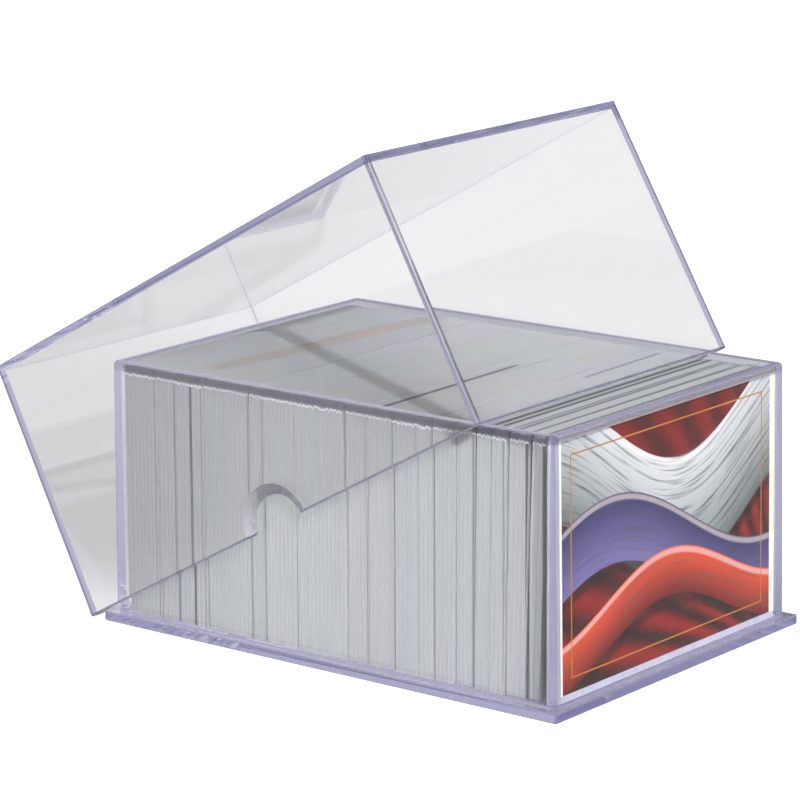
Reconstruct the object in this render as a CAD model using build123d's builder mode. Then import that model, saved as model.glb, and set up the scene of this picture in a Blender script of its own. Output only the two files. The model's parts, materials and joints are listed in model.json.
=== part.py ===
from build123d import *
from math import asin, cos, degrees, radians, sin, tan
import os

# A two-piece clear polystyrene case for trading cards: a flanged tray full of cards, and a deep lid.
# The lid is off its seat and propped: its heel stands on the table and its front lies across the tray.
# Millimetres.  +X runs along the row of cards towards the insert end, +Z is up, and the origin is the
# middle of the tray's underside.

# Trading cards in soft sleeves, standing on their long edges across the tray
card_width = 91.0
card_height = 66.4
card_thickness = 0.4
card_air = 0.035  # between neighbours
card_stray = 0.07  # how far one card stands out of line with its packet

# The loose packets that the row falls into
packet_sizes = (24, 15, 13, 8, 34, 11, 23, 36, 14, 21, 27, 14, 13, 10, 10, 13, 9)  # each one's share of the row
packet_air = 0.12  # between packets, at the floor
packet_stray = 0.45  # how far a packet stands out of line with the row
packet_trim = 0.45  # how much lower the packet that was cut smallest stands
packet_wobble = 0.15  # degrees
slump_angle = 1.6  # the packet next to the insert leans on it, degrees
slump_shift = 1.2  # and stands this much further across the tray
slump_power = 5.0  # how quickly both die out along the row

# Printed insert, in the end of the tray
insert_thickness = 0.5
insert_side_air = 0.25  # to the fillets at the foot of the side walls
insert_head_room = 2.0  # below the tray's rim

# Tray moulding
row_room = 136.5  # inside length at the floor, for cards and insert
card_side_room = 2.15  # each side of a card in the middle of the tray
card_near_air = 0.3  # the row has been pushed up to this far from one side wall
card_head_room = 0.9  # above a card
wall_foot = 2.75  # wall thickness at the floor
floor_thickness = 2.5
tray_draft = 0.63  # outer faces lean in towards the rim, degrees
cavity_draft = 0.17  # inner faces open out towards the rim, degrees
tray_corner = 1.9  # upright outer corners, in plan
cavity_corner = 0.8
floor_round = 0.3  # floor to walls, inside
rim_round = 1.25  # outer edge of the rim
rim_break = 0.2  # inner edge of the rim
flange_thickness = 2.5
flange_corner = 0.6
flange_break = 0.3
end_air = 0.05  # from the fillet at the foot of an end wall to the insert or the first card

# Lid moulding
lid_wall = 1.8
lid_roof = 2.0
lid_foot_clearance = 0.6  # each side, between the lid's rim and the foot of the tray
lid_rim_clearance = 0.25  # each side, between the lid and the tray's rim, closed
lid_head_room = 1.6  # under the roof, closed
lid_corner = 0.7
lid_inner_corner = 0.3
lid_roof_round = 0.45
lid_lead = 0.5  # bevel inside the lid's rim, which guides it over the tray
notch_throat = 7.9  # radius of the thumb notch at the inner face
notch_mouth = 11.0  # its radius at the outer face

# How the lid is propped
prop_clearance = 0.03  # front panel over the tray's rims
heel_clearance = 0.15  # side panels over the back edge of the flange

# Tray, from its driving sizes
cavity_length = row_room
cavity_width = card_width + 2 * card_side_room
cavity_depth = card_height + card_head_room
tray_length = cavity_length + 2 * wall_foot
tray_width = cavity_width + 2 * wall_foot
tray_height = floor_thickness + cavity_depth
wall_height = tray_height - flange_thickness
tray_inset = wall_height * tan(radians(tray_draft))
cavity_outset = cavity_depth * tan(radians(cavity_draft))
rim_width = wall_foot - tray_inset - cavity_outset
rim_fillet = min(rim_round, 0.7 * rim_width)
rim_chamfer = min(rim_break, 0.15 * rim_width)
foot_fillet = 0.5 * lid_foot_clearance  # walls to flange, small enough for the lid's rim to pass

# Lid, from the tray: it covers the walls and its sides come flush with the flange
lid_length = tray_length + 2 * (lid_foot_clearance + lid_wall)
lid_width = tray_width + 2 * (lid_foot_clearance + lid_wall)
lid_depth = wall_height + lid_head_room
lid_height = lid_depth + lid_roof
lid_slope = (lid_foot_clearance + tray_inset - lid_rim_clearance) / wall_height
lid_inset = lid_slope * lid_height
lid_inner_length = lid_length - 2 * lid_wall
lid_inner_width = lid_width - 2 * lid_wall
lid_inner_inset = lid_slope * lid_depth
notch_flare = (notch_mouth - notch_throat) / lid_wall
notch_over = 0.25 * lid_wall  # how far the notch's cutter runs past both faces

# Where the lid stands: a plane on its rim, tilted back about the heel
prop_angle = degrees(asin((tray_height + prop_clearance) / (lid_length - lid_wall + lid_lead)))
heel_rise = flange_thickness + heel_clearance / cos(radians(prop_angle))
heel_x = -lid_length / 2 - heel_rise / tan(radians(prop_angle))
lid_along = Vector(cos(radians(prop_angle)), 0, sin(radians(prop_angle)))
lid_up = Vector(-sin(radians(prop_angle)), 0, cos(radians(prop_angle)))
lid_middle = Vector(heel_x, 0, 0) + lid_along * (lid_length / 2)
lid_rim = Plane(origin=lid_middle, x_dir=lid_along, z_dir=lid_up)

# The row of cards and the insert, between the end walls
end_room = floor_round + end_air
row_start = -cavity_length / 2 + end_room
insert_front = cavity_length / 2 - end_room
insert_back = insert_front - insert_thickness
insert_width = cavity_width - 2 * (floor_round + insert_side_air)
insert_height = cavity_depth - insert_head_room
packet_count = len(packet_sizes)


def packet_slump(number):
    """Share of the full slump that a packet has; it grows along the row to 1 at the insert."""
    return ((number + 1) / packet_count) ** slump_power


def packet_lean(number):
    """Lean of a packet towards the insert, in degrees."""
    return slump_angle * packet_slump(number) + packet_wobble * sin(2.4 * number + 1)


def packet_gap(number):
    """Gap at the floor behind a packet, which leaves room at the top where the one behind leans more."""
    lean_behind = packet_lean(number - 1) if number else 0
    sway = sin(radians(lean_behind)) - sin(radians(packet_lean(number)))
    return packet_air + card_height * max(0, sway)


def packet_height(number):
    """Height of a packet's cards: packets from different cuttings differ a little."""
    return card_height - packet_trim * (1 + sin(3.1 * number)) / 2


def packet_length(cards, number):
    """Length that this many cards of a packet take along the floor."""
    return cards * (card_thickness + card_air) / cos(radians(packet_lean(number)))


# What is left of the row for the cards themselves, once the gaps and the last packet's lean are off it
row_gaps = sum(packet_gap(number) for number in range(packet_count))
row_lean = card_height * tan(radians(packet_lean(packet_count - 1)))
row_length = insert_back - row_start - row_gaps - row_lean - packet_air


def packet_cards(number):
    """How many cards a packet's share of the row holds."""
    share = row_length * packet_sizes[number] / sum(packet_sizes)
    return int(share // packet_length(1, number))


def packet_start(number):
    """Where a packet begins along the row: behind it stand the gaps and the cards of those before."""
    lengths = (packet_length(packet_cards(behind), behind) for behind in range(number))
    return row_start + sum(lengths) + sum(packet_gap(behind) for behind in range(number + 1))


def card_seat(number, place):
    """Where one card stands: the middle of its back lower edge, x through the card and z up its face."""
    lean = radians(packet_lean(number))
    packet_shift = packet_stray * (1 + sin(1.7 * number)) + slump_shift * packet_slump(number)
    card_shift = card_stray * (1 + sin(2.1 * place + number))
    x = packet_start(number) + packet_length(place, number)
    y = card_near_air + card_width / 2 - cavity_width / 2 + packet_shift + card_shift
    z = floor_thickness + max(0, card_thickness * sin(lean))
    return Plane(origin=(x, y, z), x_dir=(cos(lean), 0, -sin(lean)), z_dir=(sin(lean), 0, cos(lean)))


os.makedirs("parts", exist_ok=True)

# Tray: flange, floor and four drafted walls in one moulding
with BuildPart() as tray:
    with BuildSketch():
        RectangleRounded(lid_length, lid_width, flange_corner)
    extrude(amount=flange_thickness)
    fillet(tray.edges().filter_by(Plane.XY), flange_break)
    with BuildSketch(Plane.XY.offset(flange_thickness)):
        RectangleRounded(tray_length, tray_width, tray_corner)
    extrude(amount=wall_height, taper=tray_draft)
    foot_edges = tray.edges(Select.LAST).filter_by_position(Axis.Z, flange_thickness, flange_thickness)
    fillet(foot_edges, foot_fillet)
    with BuildSketch(Plane.XY.offset(floor_thickness)):
        RectangleRounded(cavity_length, cavity_width, cavity_corner)
    extrude(amount=cavity_depth, taper=-cavity_draft, mode=Mode.SUBTRACT)
    floor_edges = tray.edges(Select.LAST).filter_by_position(Axis.Z, floor_thickness, floor_thickness)
    fillet(floor_edges, floor_round)
    rim = tray.faces().sort_by(Axis.Z)[-1]
    fillet(rim.outer_wire().edges(), rim_fillet)
    rim = tray.faces().sort_by(Axis.Z)[-1]
    chamfer(rim.inner_wires()[0].edges(), rim_chamfer)
tray.part.label = "tray"
export_step(tray.part, "parts/tray.step")

# Lid: a deep drafted cover, with a flared half-moon thumb notch in the rim of each long side
lid_axis = Axis(lid_rim.origin, lid_rim.z_dir)
notch_planes = [
    Plane(lid_rim.from_local_coords(Vector(0, side * (lid_width - lid_wall) / 2, 0)), z_dir=(0, side, 0))
    for side in (-1, 1)
]
with BuildPart() as lid:
    with BuildSketch(lid_rim):
        RectangleRounded(lid_length, lid_width, lid_corner)
    with BuildSketch(lid_rim.offset(lid_height)):
        RectangleRounded(lid_length - 2 * lid_inset, lid_width - 2 * lid_inset, lid_corner)
    loft()
    fillet(lid.faces().sort_by(lid_axis)[-1].edges(), lid_roof_round)
    with BuildSketch(lid_rim):
        RectangleRounded(lid_inner_length, lid_inner_width, lid_inner_corner)
    with BuildSketch(lid_rim.offset(lid_depth)):
        RectangleRounded(
            lid_inner_length - 2 * lid_inner_inset, lid_inner_width - 2 * lid_inner_inset, lid_inner_corner
        )
    loft(mode=Mode.SUBTRACT)
    rim = lid.faces().sort_by(lid_axis)[0]
    chamfer(rim.inner_wires()[0].edges(), lid_lead)
    with Locations(*notch_planes):
        Cone(
            bottom_radius=notch_throat - notch_flare * notch_over,
            top_radius=notch_mouth + notch_flare * notch_over,
            height=lid_wall + 2 * notch_over,
            mode=Mode.SUBTRACT,
        )
lid.part.label = "lid"
export_step(lid.part, "parts/lid.step")

# Printed insert, standing on the floor against the end wall
with BuildPart() as insert:
    with BuildSketch(Plane.XY.offset(floor_thickness)):
        with Locations((insert_back + insert_thickness / 2, 0)):
            Rectangle(insert_thickness, insert_width)
    extrude(amount=insert_height)
insert.part.label = "insert"
export_step(insert.part, "parts/insert.step")

# Cards: each its own piece, in packets that lean and stray a little as loose cards do
card_align = (Align.MIN, Align.CENTER, Align.MIN)
for number in range(packet_count):
    seats = [card_seat(number, place) for place in range(packet_cards(number))]
    with BuildPart() as packet:
        with Locations(*seats):
            Box(card_thickness, card_width, packet_height(number), align=card_align)
    packet.part.label = f"cards_{number + 1:02d}"
    export_step(packet.part, f"parts/{packet.part.label}.step")
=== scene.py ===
import json
from math import cos, radians, sin

import bpy
from mathutils import Matrix, Vector


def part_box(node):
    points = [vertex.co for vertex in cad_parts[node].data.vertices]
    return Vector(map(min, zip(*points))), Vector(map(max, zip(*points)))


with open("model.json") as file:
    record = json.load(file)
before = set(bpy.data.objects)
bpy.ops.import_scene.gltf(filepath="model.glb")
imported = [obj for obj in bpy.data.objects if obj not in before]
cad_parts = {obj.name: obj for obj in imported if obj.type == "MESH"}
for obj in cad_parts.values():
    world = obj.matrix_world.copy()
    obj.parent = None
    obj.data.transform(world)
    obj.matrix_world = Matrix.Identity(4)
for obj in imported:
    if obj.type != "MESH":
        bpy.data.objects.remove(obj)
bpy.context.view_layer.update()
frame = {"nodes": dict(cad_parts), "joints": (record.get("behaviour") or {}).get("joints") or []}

bl_info = {
    "name": "Trading card case",
    "version": (1, 0, 0),
    "blender": (4, 5, 0),
    "location": "3D View > Sidebar > Card case",
    "description": "Finishes the packed card case: clear mouldings, sleeved cards, print and stage",
    "category": "Object",
}

mm = 0.001

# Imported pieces, in millimetres, and the lid's own axes: along its rim, and square to it
tray_half_length, tray_half_width, tray_top = (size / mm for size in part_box("tray")[1])
card_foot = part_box("insert")[0][2] / mm
card_nodes = sorted(name for name in frame["nodes"] if name.startswith("cards_"))
lid_joint = next(joint for joint in frame["joints"] if joint["name"] == "lid_lift")
lid_up = Vector(lid_joint["axis"]).normalized()
lid_along = Vector((lid_up.z, 0, -lid_up.x))
lid_corners = [vertex.co / mm for vertex in frame["nodes"]["lid"].data.vertices]
lid_rim = min(corner.dot(lid_up) for corner in lid_corners)
lid_roof = max(corner.dot(lid_up) for corner in lid_corners)
lid_middle = min(corner.dot(lid_along) for corner in lid_corners) + tray_half_length
lid_wall = 1.8
lid_slope = 0.0162  # how far the lid's walls lean in, per millimetre of height
flange_ledge = 3.0  # from the flange's edge in to the tray's outer faces


def linear(colour):
    """Linear RGBA of an sRGB hex colour such as "8F8AB0"."""
    channels = [int(colour[place:place + 2], 16) / 255 for place in (0, 2, 4)]
    return [c / 12.92 if c <= 0.04045 else ((c + 0.055) / 1.055) ** 2.4 for c in channels] + [1.0]


white = linear("FFFFFF")


def add(tree, kind, inputs=None, **settings):
    """Adds a node with its settings.

    inputs maps each socket to a value, or to the node or output that feeds it.
    """
    made = tree.nodes.new(kind)
    for name, value in settings.items():
        setattr(made, name, value)
    for key, value in (inputs or {}).items():
        if isinstance(value, bpy.types.Node):
            value = value.outputs[0]
        if isinstance(value, bpy.types.NodeSocket):
            tree.links.new(value, made.inputs[key])
        else:
            made.inputs[key].default_value = value
    return made


def new_material(name):
    """An empty node material, its tree and its output node."""
    material = bpy.data.materials.new(name)
    material.use_nodes = True
    material.node_tree.nodes.clear()
    return material, material.node_tree, add(material.node_tree, "ShaderNodeOutputMaterial")


def dress(node_name, material):
    """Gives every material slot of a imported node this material."""
    node = frame["nodes"][node_name]
    for slot in node.material_slots:
        slot.material = material


def colour_property(name, description, colour):
    """A colour setting, with its sRGB hex default turned linear."""
    return bpy.props.FloatVectorProperty(
        name=name, description=description, subtype="COLOR", size=4, min=0, max=1, default=linear(colour)
    )


def place_of(tree):
    """Place on the piece in millimetres: x along the row, y across it and z up, moving with the piece."""
    point = add(tree, "ShaderNodeTexCoord").outputs["Object"]
    scaled = add(tree, "ShaderNodeVectorMath", {0: point, "Scale": 1 / mm}, operation="SCALE")
    return scaled, *add(tree, "ShaderNodeSeparateXYZ", {0: scaled}).outputs


def between(tree, value, low, high, soft):
    """1 where value lies between low and high, falling to 0 over the width soft."""
    offset = add(tree, "ShaderNodeMath", {0: value, 1: (low + high) / 2}, operation="SUBTRACT")
    away = add(tree, "ShaderNodeMath", {0: offset}, operation="ABSOLUTE")
    half = (high - low) / 2
    edge = {0: away, "From Min": half + soft, "From Max": half, "To Min": 0.0, "To Max": 1.0}
    return add(tree, "ShaderNodeMapRange", edge, interpolation_type="SMOOTHSTEP")


def overlap(tree, *masks):
    """Where all the masks hold, as their product."""
    result = masks[0]
    for mask in masks[1:]:
        result = add(tree, "ShaderNodeMath", {0: result, 1: mask}, operation="MULTIPLY")
    return result


def lay(tree, below, above, *masks):
    """Lays the colour above over the one below, where all the masks hold."""
    return add(tree, "ShaderNodeMixRGB", {0: overlap(tree, *masks), 1: below, 2: above})


def mottle(tree, point, sizes, detail=2.0):
    """Noise with features of these sizes in millimetres along x, y and z, or none where the size is 0."""
    per_mm = [1 / size if size else 0 for size in sizes]
    stretched = add(tree, "ShaderNodeVectorMath", {0: point, 1: per_mm}, operation="MULTIPLY")
    return add(tree, "ShaderNodeTexNoise", {"Vector": stretched, "Scale": 1.0, "Detail": detail})


class CaseSettings(bpy.types.PropertyGroup):
    """Sizes and colours of the clear mouldings, the cards, the insert and the stage."""

    tint: colour_property("Plastic tint", "Colour that light keeps after the tint depth", "B1B1D5")
    tint_depth: bpy.props.FloatProperty(
        name="Tint depth",
        description="Path in the plastic that gives the tint",
        default=0.16,
        unit="LENGTH",
    )
    # painted tints of the plastic: its edges, flange, rim and corners are tinted to stand in for light bent
    # away and held there
    edge_tint: colour_property("Edge tint", "What a moulding's edges and flange let through", "D4D2E6")
    rim_tint: colour_property("Rim tint", "What the rounded rim of the tray lets through", "CACAD4")
    sharp_tint: colour_property("Sharp edge tint", "What the lid's rim and corners let through", "8A8A90")
    # painted glow that the plastic's edges give off in place of light held in them
    painted_glow: colour_property("Trapped light", "What edges give off after holding light for long", "CCC9DE")
    edge_light: colour_property("Light card edge", "Lightest cut edge of a card, in its sleeve", "C2C6C8")
    edge_dark: colour_property("Dark card edge", "Darkest cut edge of a card, in its sleeve", "A6A9AA")
    fold: colour_property("Sleeve fold", "Folded top of a soft sleeve", "9DA0A3")
    # partly painted shade: the empty film is darkened where the tray's rim shades the sleeves
    film: colour_property("Sleeve film", "Empty part of a sleeve, above its card", "9A9CA2")
    card_height: bpy.props.FloatProperty(
        name="Card height",
        description="Height of a bare card in its sleeve",
        default=0.0635,
        unit="LENGTH",
    )
    sleeve_foot: bpy.props.FloatProperty(
        name="Sleeve foot",
        description="Welded foot of a sleeve, below its card",
        default=0.0005,
        unit="LENGTH",
    )
    board: colour_property("Board", "Unprinted board of the insert", "DCD7CC")
    frame_inset: bpy.props.FloatProperty(
        name="Frame inset",
        description="From the printed frame line to the edge of the print",
        default=0.0036,
        unit="LENGTH",
    )
    key_strength: bpy.props.FloatProperty(name="Key", description="Strength of the key lamp", default=2.9)
    fill_strength: bpy.props.FloatProperty(name="Fill", description="Strength of the sky", default=0.52)


def tray_edges(tree, reach):
    """Where the tray bends light away: its rounded rim, its flange and its upright corners."""
    x, y, z = place_of(tree)[1:]
    # the rim's round and the floor's top bend light over a part of the corners' reach
    rim = add(tree, "ShaderNodeMath", {0: z, 1: tray_top - 0.4 * reach}, operation="GREATER_THAN")
    flange = add(tree, "ShaderNodeMath", {0: z, 1: card_foot + 0.1 * reach}, operation="LESS_THAN")
    near = []
    for value, half in ((x, tray_half_length), (y, tray_half_width)):
        away = add(tree, "ShaderNodeMath", {0: value}, operation="ABSOLUTE")
        start = half - flange_ledge - reach
        near.append(add(tree, "ShaderNodeMath", {0: away, 1: start}, operation="GREATER_THAN"))
    ends = add(tree, "ShaderNodeMath", {0: rim, 1: flange}, operation="MAXIMUM")
    return add(tree, "ShaderNodeMath", {0: ends, 1: overlap(tree, *near)}, operation="MAXIMUM")


def tray_rims(tree):
    """The tray's rounded rim, tinted as a soft grey line of painted shade where light is bent away."""
    z = place_of(tree)[3]
    rim_depth = 2.2
    fade = 0.6
    return between(tree, z, tray_top - rim_depth, tray_top + 1.0, fade)


def lid_near(tree, reach):
    """Three masks: within reach of the lid's roof, of its end walls and of its side walls."""
    point = place_of(tree)[0]
    height = add(tree, "ShaderNodeVectorMath", {0: point, 1: lid_up}, operation="DOT_PRODUCT")
    height = height.outputs["Value"]
    raised = add(tree, "ShaderNodeMath", {0: height, 1: lid_rim}, operation="SUBTRACT")
    near = [add(tree, "ShaderNodeMath", {0: height, 1: lid_roof - reach}, operation="GREATER_THAN")]
    walls = ((lid_along, lid_middle, tray_half_length), (Vector((0, 1, 0)), 0, tray_half_width))
    for axis, centre, half in walls:
        reading = add(tree, "ShaderNodeVectorMath", {0: point, 1: axis}, operation="DOT_PRODUCT")
        offset = {0: reading.outputs["Value"], 1: centre}
        offset = add(tree, "ShaderNodeMath", offset, operation="SUBTRACT")
        away = add(tree, "ShaderNodeMath", {0: offset}, operation="ABSOLUTE")
        # the lean of the walls is taken out, so that reach is the same at every height
        upright = {0: raised, 1: lid_slope, 2: away}
        upright = add(tree, "ShaderNodeMath", upright, operation="MULTIPLY_ADD")
        near.append(add(tree, "ShaderNodeMath", {0: upright, 1: half - reach}, operation="GREATER_THAN"))
    return near


def lid_edges(tree, reach):
    """Where two walls of the lid meet, or a wall and the roof, and bend light away."""
    roof, end, side = lid_near(tree, reach)
    wall = add(tree, "ShaderNodeMath", {0: end, 1: side}, operation="MAXIMUM")
    # inside the wall's own thickness, the upright corners take half as much as the roof's edges
    corner_reach = reach if reach > lid_wall else reach / 2
    corners = overlap(tree, *lid_near(tree, corner_reach)[1:])
    return add(tree, "ShaderNodeMath", {0: overlap(tree, roof, wall), 1: corners}, operation="MAXIMUM")


def lid_rims(tree):
    """Grey lines of painted shade on the lid, where light is bent away: its rim with the lead-in bevel, its
    thumb notches and its upright corners.
    """
    point = place_of(tree)[0]
    bevel = 0.55
    height = add(tree, "ShaderNodeVectorMath", {0: point, 1: lid_up}, operation="DOT_PRODUCT")
    low = {0: height.outputs["Value"], 1: lid_rim + bevel}
    low = add(tree, "ShaderNodeMath", low, operation="LESS_THAN")
    # only a notch's flare faces partly across and partly along the wall
    facing = add(tree, "ShaderNodeSeparateXYZ", {0: add(tree, "ShaderNodeNewGeometry").outputs["Normal"]})
    across = add(tree, "ShaderNodeMath", {0: facing.outputs[1]}, operation="ABSOLUTE")
    least_across, most_across = 0.8, 0.92
    flare = between(tree, across, least_across, most_across, 0.02)
    # the flare's painted shade is paler on its lower side, from its middle to where it meets the rim
    along = add(tree, "ShaderNodeVectorMath", {0: point, 1: lid_along}, operation="DOT_PRODUCT")
    upper = {"From Min": lid_middle - 9, "From Max": lid_middle - 1, "To Min": 0.15}
    upper = add(tree, "ShaderNodeMapRange", {0: along.outputs["Value"], **upper})
    flare = overlap(tree, flare, upper)
    # a corner's painted line stands just inside the outer faces
    line_start, line_end = 0.8, 1.25
    outer = overlap(tree, *lid_near(tree, line_end)[1:])
    inner = overlap(tree, *lid_near(tree, line_start)[1:])
    lines = add(tree, "ShaderNodeMath", {0: outer, 1: inner}, operation="SUBTRACT")
    cut = add(tree, "ShaderNodeMath", {0: low, 1: flare}, operation="MAXIMUM")
    return add(tree, "ShaderNodeMath", {0: cut, 1: lines}, operation="MAXIMUM")


# How far from an edge it bends light away and shows its painted edge tint, in millimetres, and what faces
# and edges let through of a lamp's light
tray_look = (2.0, 1.0, "F7F7F8", "AAAAAF")
lid_look = (4.0, 1.6, "EDEDEE", "303038")
# after this many bounces the plastic gives off a painted glow instead of tracing the light further
patience = 14  # bounces after which light in the plastic counts as trapped


def polystyrene(name, settings, edges, rims, rim_tint, look):
    """Clear polystyrene, moulded in a polished tool: colourless face on, and lavender along its edges, from
    its tint and from painted edge tints and a painted glow.
    """
    material, tree, output = new_material(name)
    bend_reach, tint_reach, through_face, through_edge = look
    point = place_of(tree)[0]
    # the polished mould leaves a slow ripple, 20 mm from crest to crest and 0.05 mm high
    ripple = mottle(tree, point, (20, 20, 20))
    bump = add(tree, "ShaderNodeBump", {"Height": ripple, "Strength": 0.06, "Distance": 0.05 * mm})
    # painted edge tints: the glass is tinted grey-lavender along its edges and rims, standing in for light
    # bent away and held in the plastic there
    tinted = lay(tree, white, settings.edge_tint, edges(tree, tint_reach))
    tinted = lay(tree, tinted, rim_tint, rims(tree))
    plastic = {
        "Base Color": tinted,
        "Roughness": 0.0,
        "IOR": 1.59,
        "Transmission Weight": 1.0,
        "Normal": bump,
    }
    plastic = add(tree, "ShaderNodeBsdfPrincipled", plastic)
    path = add(tree, "ShaderNodeLightPath").outputs
    # painted glow: past this many bounces the plastic glows lavender instead of going dark
    held = add(tree, "ShaderNodeMath", {0: path["Ray Depth"], 1: patience}, operation="GREATER_THAN")
    painted_glow = add(tree, "ShaderNodeEmission", {"Color": settings.painted_glow, "Strength": 1.0})
    plastic = add(tree, "ShaderNodeMixShader", {0: held, 1: plastic, 2: painted_glow})
    # light that reaches a lamp straight through: little of it where the edges bend it away
    let_through = lay(tree, linear(through_face), linear(through_edge), edges(tree, bend_reach))
    clear = add(tree, "ShaderNodeBsdfTransparent", {"Color": let_through})
    mix = add(tree, "ShaderNodeMixShader", {0: path["Is Shadow Ray"], 1: plastic, 2: clear})
    volume = {"Color": settings.tint, "Density": 1 / settings.tint_depth}
    volume = add(tree, "ShaderNodeVolumeAbsorption", volume)
    tree.links.new(mix.outputs[0], output.inputs["Surface"])
    tree.links.new(volume.outputs[0], output.inputs["Volume"])
    return material


class CASE_OT_mouldings(bpy.types.Operator):
    """Finishes the tray and the lid in clear moulded polystyrene"""

    bl_idname = "card_case.mouldings"
    bl_label = "Clear mouldings"

    def execute(self, context):
        settings = context.scene.card_case
        mouldings = (
            ("tray", tray_edges, tray_rims, settings.rim_tint, tray_look),
            ("lid", lid_edges, lid_rims, settings.sharp_tint, lid_look),
        )
        for node_name, edges, rims, rim_tint, look in mouldings:
            material_name = f"moulded_polystyrene_{node_name}"
            dress(node_name, polystyrene(material_name, settings, edges, rims, rim_tint, look))
        return {"FINISHED"}


# Tones of painted shade in the gaps between packets and on cards standing lower than their neighbours, of
# painted light on cards standing higher, and of a few colours
mist = "C4C8CE"
ash = "9CA0A4"
stone = "84878A"
slate = "72767E"
lead = "5A5E66"
coal = "44464A"
gap_black = "1E2228"
lavender = "7E7EA0"
moss = "9A9C88"
rust = "B69C94"
rust_grey = "A49B98"

# Gaps between packets, on the long sides of the row, painted dark as shade and the last one lavender as the
# clear corner seen beyond it: place along the row, width in millimetres and tone
side_gaps = (
    (-65.9, 0.3, ash),
    (-57.5, 0.4, stone),
    (-51.2, 0.4, stone),
    (-45.1, 0.7, coal),
    (-41.2, 0.4, stone),
    (-26.1, 0.4, stone),
    (-21.4, 0.25, ash),
    (12.2, 0.25, ash),
    (28.2, 0.25, ash),
    (32.9, 0.4, stone),
    (44.4, 0.5, stone),
    (53.9, 0.4, stone),
    (60.3, 0.75, coal),
    (64.9, 0.6, lead),
    (67.7, 0.9, lavender),
)

# Lines across the tops of the row, of painted shade, painted light or colour: start and end (x, y), width,
# softness and tone
top_lines = (
    ((-46.0, -40.0), (-38.6, 46.0), 4.0, 3.0, rust_grey),
    ((-43.6, -10.0), (-38.4, 38.0), 2.2, 2.2, rust_grey),
    ((-40.6, 8.0), (-38.7, 29.0), 1.6, 2.0, rust),
    ((-41.6, -24.0), (-41.0, -6.0), 0.6, 0.6, moss),
    ((15.6, -50.0), (14.8, 11.0), 1.1, 0.5, gap_black),
    ((17.0, -2.0), (17.6, 22.0), 0.4, 0.4, stone),
    ((37.0, 6.0), (36.0, 44.0), 0.8, 0.4, lead),
    ((24.0, 20.0), (23.6, 36.0), 0.9, 0.8, moss),
    ((48.9, -50.0), (48.4, 46.0), 0.8, 0.4, coal),
    ((50.5, -50.0), (50.0, 46.0), 0.7, 0.4, mist),
    ((52.0, -50.0), (51.6, 46.0), 0.5, 0.4, lead),
    ((54.2, -50.0), (53.6, 46.0), 2.4, 0.5, mist),
    ((56.4, -50.0), (55.8, 34.0), 0.3, 0.3, slate),
    ((58.6, -50.0), (57.8, 46.0), 2.4, 0.5, mist),
    ((60.8, -50.0), (60.2, 40.0), 0.3, 0.3, slate),
    ((63.2, -50.0), (62.6, 46.0), 3.2, 0.5, mist),
    ((65.4, -50.0), (65.0, 46.0), 0.3, 0.3, slate),
)

past_top = 9.0  # a mask that ends this far above a card ends above its sleeve too
square_on = 0.7  # a face belongs to a direction where its normal reaches this far along it
painted = 0.9  # how much of a gap's or a line's tone covers what is below


def card_sides(tree, settings, each, point, x, above_foot):
    """Cut edges seen through film: one tone per card, fine streaks, dark gaps of painted shade between
    packets, a painted highlight along each card's top edge and painted shade in the empty film.
    """
    lightness = add(tree, "ShaderNodeMapRange", {0: each, "To Min": 0.36, "To Max": 0.5})
    # cards cut by the same stroke share a streak, about 2 mm wide and as long as the side is high
    streak = mottle(tree, point, (2, 2, 80))
    lightness = {0: streak, 1: 0.3, 2: lightness}
    lightness = add(tree, "ShaderNodeMath", lightness, operation="MULTIPLY_ADD")
    side = lay(tree, settings.edge_dark, settings.edge_light, lightness)
    # faint tints come and go every 5 mm, with the packs that the cards came from
    packet_tint = mottle(tree, point, (5, 90, 160)).outputs[1]
    side = add(tree, "ShaderNodeMixRGB", {0: 0.12, 1: side, 2: packet_tint}, blend_type="SOFT_LIGHT")
    # the sides grow greyer towards the back of the row
    greyer_back = add(tree, "ShaderNodeMapRange", {0: x, "From Min": -20.0, "From Max": -70.0, "To Max": 0.45})
    side = lay(tree, side, linear("8F9293"), greyer_back)
    # painted shade in the gaps between packets
    for place, width, tone in side_gaps:
        gap = between(tree, x, place - width / 2, place + width / 2, 0.2)
        side = lay(tree, side, linear(tone), gap, painted)
    # painted highlight: a bright line where the card ends below the top of its sleeve, at a height that
    # differs a little from card to card, stands in for light bent by the tray's rim and glinting along the
    # card's top edge
    top_edge = (settings.card_height + settings.sleeve_foot) / mm
    unevenness, fade = 0.6, 0.15
    sunk = {0: each, 1: unevenness, 2: above_foot}
    sunk = add(tree, "ShaderNodeMath", sunk, operation="MULTIPLY_ADD")
    line = between(tree, sunk, top_edge - fade, top_edge + 2 * fade, fade)
    side = lay(tree, side, linear("F6F8F6"), line)
    # partly painted shade: the empty film above the card is darkened where the tray's rim shades it
    empty = between(tree, sunk, top_edge + 3 * fade, top_edge + past_top, fade)
    return lay(tree, side, settings.film, empty)


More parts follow.
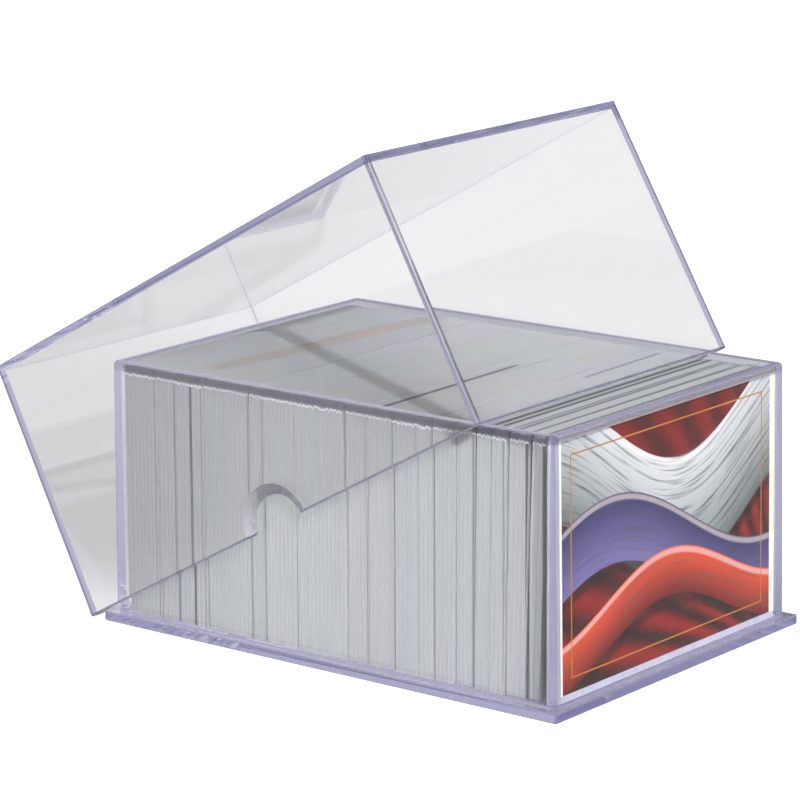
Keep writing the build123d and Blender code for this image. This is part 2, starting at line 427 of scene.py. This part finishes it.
def card_tops(tree, settings, point, x, y):
    """Folded tops of the sleeves: slow tints, faint streaks, and a few lines of painted shade where a card
    stands lower, of painted light where one stands higher, and of colour.
    """
    # what lies behind the film tints it slowly, over 20 mm along the row and 50 mm across it
    slow = mottle(tree, point, (20, 50, 0)).outputs[1]
    top = add(tree, "ShaderNodeMixRGB", {0: 0.2, 1: settings.fold, 2: slow}, blend_type="SOFT_LIGHT")
    # folds stand a card's 0.4 mm apart, drawn a little coarser so that they show
    fine = mottle(tree, point, (0.6, 30, 0))
    top = add(tree, "ShaderNodeMixRGB", {0: 0.14, 1: top, 2: fine}, blend_type="OVERLAY")
    # the folds grow cloudier towards the back of the row
    paler_back = add(tree, "ShaderNodeMapRange", {0: x, "From Min": 10.0, "From Max": -60.0, "To Max": 0.36})
    top = lay(tree, top, linear("C4C7CC"), paler_back)
    # lines of painted shade and painted light where cards stand lower or higher, and a few coloured ones
    for (x0, y0), (x1, y1), width, softness, tone in top_lines:
        slope = (x1 - x0) / (y1 - y0)
        straight = add(tree, "ShaderNodeMath", {0: y, 1: -slope, 2: x}, operation="MULTIPLY_ADD")
        start = x0 - slope * y0
        across = between(tree, straight, start - width / 2, start + width / 2, softness)
        fade = 4.0
        length = between(tree, y, y0 + fade, y1 - fade, fade)
        top = lay(tree, top, linear(tone), across, length, painted)
    return top


def card_backs(tree, settings, y, z, above_foot):
    """Printed backs, seen at the ends of the row: a latticed panel in a pale border."""
    panel = overlap(tree, between(tree, y, -41.0, 39.5, 0.1), between(tree, z, 6.5, 61.5, 0.1))
    back = lay(tree, linear("A0A3A6"), linear("8E97AE"), panel)
    lattice = []
    lattice_half, line_half = 6.0, 0.35
    for sense in (1, -1):
        slanted = add(tree, "ShaderNodeMath", {0: z, 1: sense, 2: y}, operation="MULTIPLY_ADD")
        wave = add(tree, "ShaderNodeMath", {0: slanted, 1: lattice_half}, operation="PINGPONG")
        lattice.append(add(tree, "ShaderNodeMath", {0: wave, 1: line_half}, operation="LESS_THAN"))
    crossed = add(tree, "ShaderNodeMath", {0: lattice[0], 1: lattice[1]}, operation="MAXIMUM")
    back = lay(tree, back, linear("C9CEDA"), crossed, panel, 0.6)
    top_edge = (settings.card_height + settings.sleeve_foot) / mm
    return lay(tree, back, settings.film, between(tree, above_foot, top_edge, top_edge + past_top, 0.1))


def card_stock(settings):
    """Coated card stock, guillotined, in soft polypropylene sleeves: pale edges under film, dull folds."""
    material, tree, output = new_material("cut_card_stock_in_soft_sleeves")
    point, x, y, z = place_of(tree)
    above_foot = add(tree, "ShaderNodeMath", {0: z, 1: card_foot}, operation="SUBTRACT")
    surface = add(tree, "ShaderNodeNewGeometry").outputs
    facing = add(tree, "ShaderNodeSeparateXYZ", {0: surface["Normal"]}).outputs
    side = card_sides(tree, settings, surface["Random Per Island"], point, x, above_foot)
    top = card_tops(tree, settings, point, x, y)
    back = card_backs(tree, settings, y, z, above_foot)
    up = add(tree, "ShaderNodeMath", {0: facing[2], 1: square_on}, operation="GREATER_THAN")
    along = add(tree, "ShaderNodeMath", {0: facing[0]}, operation="ABSOLUTE")
    end = add(tree, "ShaderNodeMath", {0: along, 1: square_on}, operation="GREATER_THAN")
    colour = lay(tree, lay(tree, side, top, up), back, end)
    shade = {"Base Color": colour, "Roughness": 0.5, "IOR": 1.49, "Specular IOR Level": 0.15}
    shade = add(tree, "ShaderNodeBsdfPrincipled", shade)
    tree.links.new(shade.outputs[0], output.inputs["Surface"])
    return material


class CASE_OT_cards(bpy.types.Operator):
    """Gives the sleeved cards their edges, folds and backs"""

    bl_idname = "card_case.cards"
    bl_label = "Cards"

    def execute(self, context):
        material = card_stock(context.scene.card_case)
        for name in card_nodes:
            dress(name, material)
        return {"FINISHED"}


# The print, in millimetres on the insert: u to the right and v up, from its lower left corner
print_left = -44.75
print_foot = 4.3
print_width = 89.7
print_height = 62.9
# past the bare board, the print's side is painted lavender-grey: painted shade and a painted view of the
# clear corner, drawn as the film of a sleeve
bare_left = 0.8  # bare board beside the print, before the film of its sleeve
past_sheet = 9.0  # a mask that ends this far past the print ends past the sheet too

# Ribbons: height of the middle line, swing, turn along u, phase, half width, two colours and how creased
ribbons = (
    (47.0, 13.0, 0.052, 2.1, 15.5, "C6C9CC", "5C6464", 1.0),
    (25.0, 12.0, 0.047, 0.6, 8.5, "241E50", "6A6492", 0.5),
    (13.0, 8.0, 0.06, 5.2, 6.0, "C8482A", "600A08", 0.5),
)


def printed_art(tree, u, v):
    """A silver, a violet and an orange ribbon over dark red rays."""
    # rays of two reds from a point below the right corner
    source_u, source_v = 100.0, -14.0
    rays_round = 46.0  # in the whole circle
    from_u = add(tree, "ShaderNodeMath", {0: u, 1: source_u}, operation="SUBTRACT")
    from_v = add(tree, "ShaderNodeMath", {0: v, 1: source_v}, operation="SUBTRACT")
    angle = add(tree, "ShaderNodeMath", {0: from_v, 1: from_u}, operation="ARCTAN2")
    fan = add(tree, "ShaderNodeMath", {0: angle, 1: rays_round}, operation="MULTIPLY")
    fan = add(tree, "ShaderNodeMath", {0: fan}, operation="SINE")
    ray = add(tree, "ShaderNodeMapRange", {0: fan, "From Min": -1.0, "From Max": 1.0})
    colour = lay(tree, linear("26050A"), linear("801210"), ray)
    ember = add(tree, "ShaderNodeMapRange", {0: v, "From Min": 0.0, "From Max": print_height})
    colour = lay(tree, colour, linear("5C1008"), ember, 0.5)
    for height, swing, per_mm, phase, half, bright, dim, creased in ribbons:
        turned = add(tree, "ShaderNodeMath", {0: u, 1: per_mm, 2: phase}, operation="MULTIPLY_ADD")
        wave = add(tree, "ShaderNodeMath", {0: turned}, operation="SINE")
        middle = add(tree, "ShaderNodeMath", {0: wave, 1: swing, 2: height}, operation="MULTIPLY_ADD")
        over = add(tree, "ShaderNodeMath", {0: v, 1: middle}, operation="SUBTRACT")
        crown = add(tree, "ShaderNodeMapRange", {0: over, "From Min": half, "From Max": -half})
        shade = lay(tree, linear(bright), linear(dim), crown)
        # creases run along the ribbon, 22 mm long and 1.1 mm apart
        ribbed = add(tree, "ShaderNodeCombineXYZ", {0: u, 1: over})
        crease = mottle(tree, ribbed, (22, 1.1, 0), 3.0)
        dark = add(tree, "ShaderNodeMapRange", {0: crease, "From Min": 0.5, "From Max": 0.68})
        shade = lay(tree, shade, linear("3C4240"), dark, creased, 0.8)
        lit_edge = between(tree, over, half - 1.2, half - 0.6, 0.8)
        shade = lay(tree, shade, linear("E8DCD4"), lit_edge, 0.35)
        cast_shadow = between(tree, over, -half - 2.2, -half - 0.3, 1.6)
        colour = lay(tree, colour, linear("180608"), cast_shadow, 0.7)
        colour = lay(tree, colour, shade, between(tree, over, -half, half, 0.3))
    return colour


def printed_board(settings):
    """Coated board, offset printed: satin ink with soft edges inside a gold line, a bare margin, and a
    lavender-grey strip of painted shade and of the painted clear corner below and beside the print.
    """
    material, tree, output = new_material("offset_printed_board")
    point, x, y, z = place_of(tree)
    u = add(tree, "ShaderNodeMath", {0: y, 1: print_left}, operation="SUBTRACT")
    v = add(tree, "ShaderNodeMath", {0: z, 1: print_foot}, operation="SUBTRACT")
    colour = printed_art(tree, u, v)
    inset = settings.frame_inset / mm
    line_width = 0.38
    rings = []
    for edge in (inset, inset + line_width):  # the gold line lies between the two
        across = between(tree, u, edge, print_width - edge, 0.05)
        rings.append(overlap(tree, across, between(tree, v, edge, print_height - edge, 0.05)))
    gold = add(tree, "ShaderNodeMath", {0: rings[0], 1: rings[1]}, operation="SUBTRACT")
    colour = lay(tree, colour, linear("A87020"), gold)
    # the sheet is bare outside the print, and beyond that, down one side and along the foot, it is painted
    # lavender-grey as a sleeve's film: painted shade where the insert stands at the wall's foot, and a
    # painted view of the tray's clear corner beside it; the board's fibres are about 1.2 mm long, and drawn
    # coarser than they are wide
    fibre = mottle(tree, point, (0.25, 1.2, 0.5), 4.0)
    board = add(tree, "ShaderNodeMixRGB", {0: 0.12, 1: settings.board, 2: fibre}, blend_type="OVERLAY")
    # painted streaks of the strip, standing in for the clear corner's refraction, 0.5 mm across and drawn
    # out along it
    corner_streaks = mottle(tree, point, (1, 0.5, 12))
    film = lay(tree, linear("9A9BAC"), linear("C4C4D4"), corner_streaks)
    beside = between(tree, u, -bare_left, print_width + past_sheet, 0.1)
    above = between(tree, v, 0.0, print_height + past_sheet, 0.1)
    sheet = lay(tree, film, board, beside, above)
    across = between(tree, u, 0.0, print_width, 0.05)
    facing = add(tree, "ShaderNodeSeparateXYZ", {0: add(tree, "ShaderNodeNewGeometry").outputs["Normal"]})
    front = add(tree, "ShaderNodeMath", {0: facing, 1: square_on}, operation="GREATER_THAN")
    ink = overlap(tree, across, between(tree, v, 0.0, print_height, 0.05), front)
    roughness = add(tree, "ShaderNodeMapRange", {0: ink, "To Min": 0.6, "To Max": 0.32})
    shade = {
        "Base Color": lay(tree, sheet, colour, ink),
        "Roughness": roughness,
        "IOR": 1.5,
        "Specular IOR Level": 0.12,
    }
    shade = add(tree, "ShaderNodeBsdfPrincipled", shade)
    tree.links.new(shade.outputs[0], output.inputs["Surface"])
    return material


class CASE_OT_insert(bpy.types.Operator):
    """Prints the insert"""

    bl_idname = "card_case.insert"
    bl_label = "Insert"

    def execute(self, context):
        dress("insert", printed_board(context.scene.card_case))
        return {"FINISHED"}


def lookers(tree):
    """Three masks: rays that look straight at the backdrop, through clear plastic, and off a gloss."""
    path = add(tree, "ShaderNodeLightPath").outputs
    past_plastic = path["Is Transmission Ray"]
    direct = add(tree, "ShaderNodeMath", {0: path["Diffuse Depth"], 1: 0.5}, operation="LESS_THAN")
    mirrored = {0: path["Is Glossy Ray"], 1: past_plastic}
    mirrored = add(tree, "ShaderNodeMath", mirrored, operation="SUBTRACT", use_clamp=True)
    return path["Is Camera Ray"], overlap(tree, past_plastic, direct), mirrored


def make_camera(scene):
    """The camera, in front of the case and a little above it."""
    place = Vector((0.595395, -0.761717, 0.287923))
    yaw = radians(128.6672)
    pitch = radians(-13.3664)
    roll = radians(-0.5555)
    forward = Vector((cos(yaw) * cos(pitch), sin(yaw) * cos(pitch), sin(pitch)))
    right = forward.cross(Vector((0, 0, 1))).normalized()
    up = right.cross(forward)
    tipped_right = right * cos(roll) + up * sin(roll)
    tipped_up = up * cos(roll) - right * sin(roll)
    data = bpy.data.cameras.new("camera")
    data.lens = 171.638
    data.sensor_width = 36.0
    data.clip_end = 100
    camera = bpy.data.objects.new("camera", data)
    turn = Matrix((tipped_right, tipped_up, -forward)).transposed()
    camera.matrix_world = Matrix.Translation(place) @ turn.to_4x4()
    scene.collection.objects.link(camera)
    scene.camera = camera


# Painted shadows: where the paper is dimmer through clear plastic: from and to in x and in y, the width over
# which that fades in x and in y, in millimetres, and how much dimmer
painted_shadows = (
    ((-420, -130), (-400, 130), 60, 190, 0.33),  # behind the case, in the lid's shade
    ((-74, 74), (-53, 53), 3, 3, 0.3),  # under the tray
    ((76, 300), (-60, 300), 40, 60, 0.75),  # in front of the insert
)


def paper_floor():
    """White paper, laid flat: matt, white to the camera, and dimmer behind the case and under it, where
    shadows are painted on it.
    """
    material, tree, output = new_material("white_paper")
    seen, through, mirrored = lookers(tree)
    x, y = place_of(tree)[1:3]
    paper = lay(tree, linear("F9F9F9"), linear("595959"), mirrored)
    paper = lay(tree, paper, linear("959595"), through)
    dim = 0.0
    for (x0, x1), (y0, y1), soft_x, soft_y, dimmer in painted_shadows:
        place = overlap(tree, between(tree, x, x0, x1, soft_x), between(tree, y, y0, y1, soft_y), dimmer)
        dim = add(tree, "ShaderNodeMath", {0: dim, 1: place}, operation="MAXIMUM")
    lit_share = add(tree, "ShaderNodeMath", {0: 1.0, 1: dim}, operation="SUBTRACT")
    # its glow makes it white to the camera, and pale but not white through plastic
    seen_glow, through_glow = 0.5, 0.68
    behind = overlap(tree, through, lit_share, through_glow)
    lift = add(tree, "ShaderNodeMath", {0: seen, 1: seen_glow, 2: behind}, operation="MULTIPLY_ADD")
    lit = add(tree, "ShaderNodeBsdfDiffuse", {"Color": paper})
    glow = add(tree, "ShaderNodeEmission", {"Color": linear("FDFCFF"), "Strength": lift})
    both = add(tree, "ShaderNodeAddShader", {0: lit, 1: glow})
    tree.links.new(both.outputs[0], output.inputs["Surface"])
    return material


def make_floor(scene):
    """The floor, just under the case."""
    mesh = bpy.data.meshes.new("floor")
    half = 8.0
    z = -0.05 * mm
    corners = [(-half, -half, z), (half, -half, z), (half, half, z), (-half, half, z)]
    mesh.from_pydata(corners, [], [(0, 1, 2, 3)])
    mesh.materials.append(paper_floor())
    floor = bpy.data.objects.new("floor", mesh)
    scene.collection.objects.link(floor)


def make_lights(scene, settings):
    """A key lamp from the insert end, and a plain sky."""
    lamp = bpy.data.lights.new("key", "SUN")
    lamp.energy = settings.key_strength
    lamp.angle = radians(0.5)
    key = bpy.data.objects.new("key", lamp)
    # the lamp is hidden from glossy rays, as if behind a diffuser: no white disc of it is mirrored in the
    # plastic
    key.visible_glossy = False
    towards = Vector((0.695, -0.501, 0.515))
    key.rotation_euler = towards.to_track_quat("Z", "Y").to_euler()
    scene.collection.objects.link(key)
    world = bpy.data.worlds.new("sky")
    world.use_nodes = True
    tree = world.node_tree
    tree.nodes.clear()
    seen, through, mirrored = lookers(tree)
    # the camera sees plain white, also through the plastic, and what the plastic mirrors stays dim
    lit = add(tree, "ShaderNodeBackground", {"Color": white, "Strength": settings.fill_strength})
    backdrop = add(tree, "ShaderNodeBackground", {"Color": white, "Strength": 1.0})
    reflected = add(tree, "ShaderNodeBackground", {"Color": white, "Strength": 0.1})
    backdrop_share = add(tree, "ShaderNodeMath", {0: seen, 1: through}, operation="MAXIMUM")
    mix = add(tree, "ShaderNodeMixShader", {0: backdrop_share, 1: lit, 2: backdrop})
    mix = add(tree, "ShaderNodeMixShader", {0: mirrored, 1: mix, 2: reflected})
    output = add(tree, "ShaderNodeOutputWorld")
    tree.links.new(mix.outputs[0], output.inputs["Surface"])
    scene.world = world


class CASE_OT_stage(bpy.types.Operator):
    """Sets the camera, the floor, the lamp and the sky"""

    bl_idname = "card_case.stage"
    bl_label = "Stage"

    def execute(self, context):
        scene = context.scene
        scene.view_settings.view_transform = "Standard"
        # light goes back and forth many times inside a clear wall before it leaves at an edge
        bounces = 64
        scene.cycles.max_bounces = bounces
        scene.cycles.glossy_bounces = bounces
        scene.cycles.transmission_bounces = bounces
        scene.cycles.transparent_max_bounces = bounces
        make_camera(scene)
        make_floor(scene)
        make_lights(scene, scene.card_case)
        return {"FINISHED"}


class CASE_PT_panel(bpy.types.Panel):
    """Lists the steps that finish the case"""

    bl_label = "Card case"
    bl_idname = "CASE_PT_panel"
    bl_space_type = "VIEW_3D"
    bl_region_type = "UI"
    bl_category = "Card case"

    def draw(self, context):
        for step in steps:
            self.layout.operator(step.bl_idname)


steps = (CASE_OT_mouldings, CASE_OT_cards, CASE_OT_insert, CASE_OT_stage)
classes = (CaseSettings, *steps, CASE_PT_panel)


def register():
    for kind in classes:
        bpy.utils.register_class(kind)
    bpy.types.Scene.card_case = bpy.props.PointerProperty(type=CaseSettings)


def unregister():
    del bpy.types.Scene.card_case
    for kind in reversed(classes):
        bpy.utils.unregister_class(kind)


def main():
    register()
    bpy.ops.card_case.mouldings()
    bpy.ops.card_case.cards()
    bpy.ops.card_case.insert()
    bpy.ops.card_case.stage()


if __name__ == "__main__":
    main()
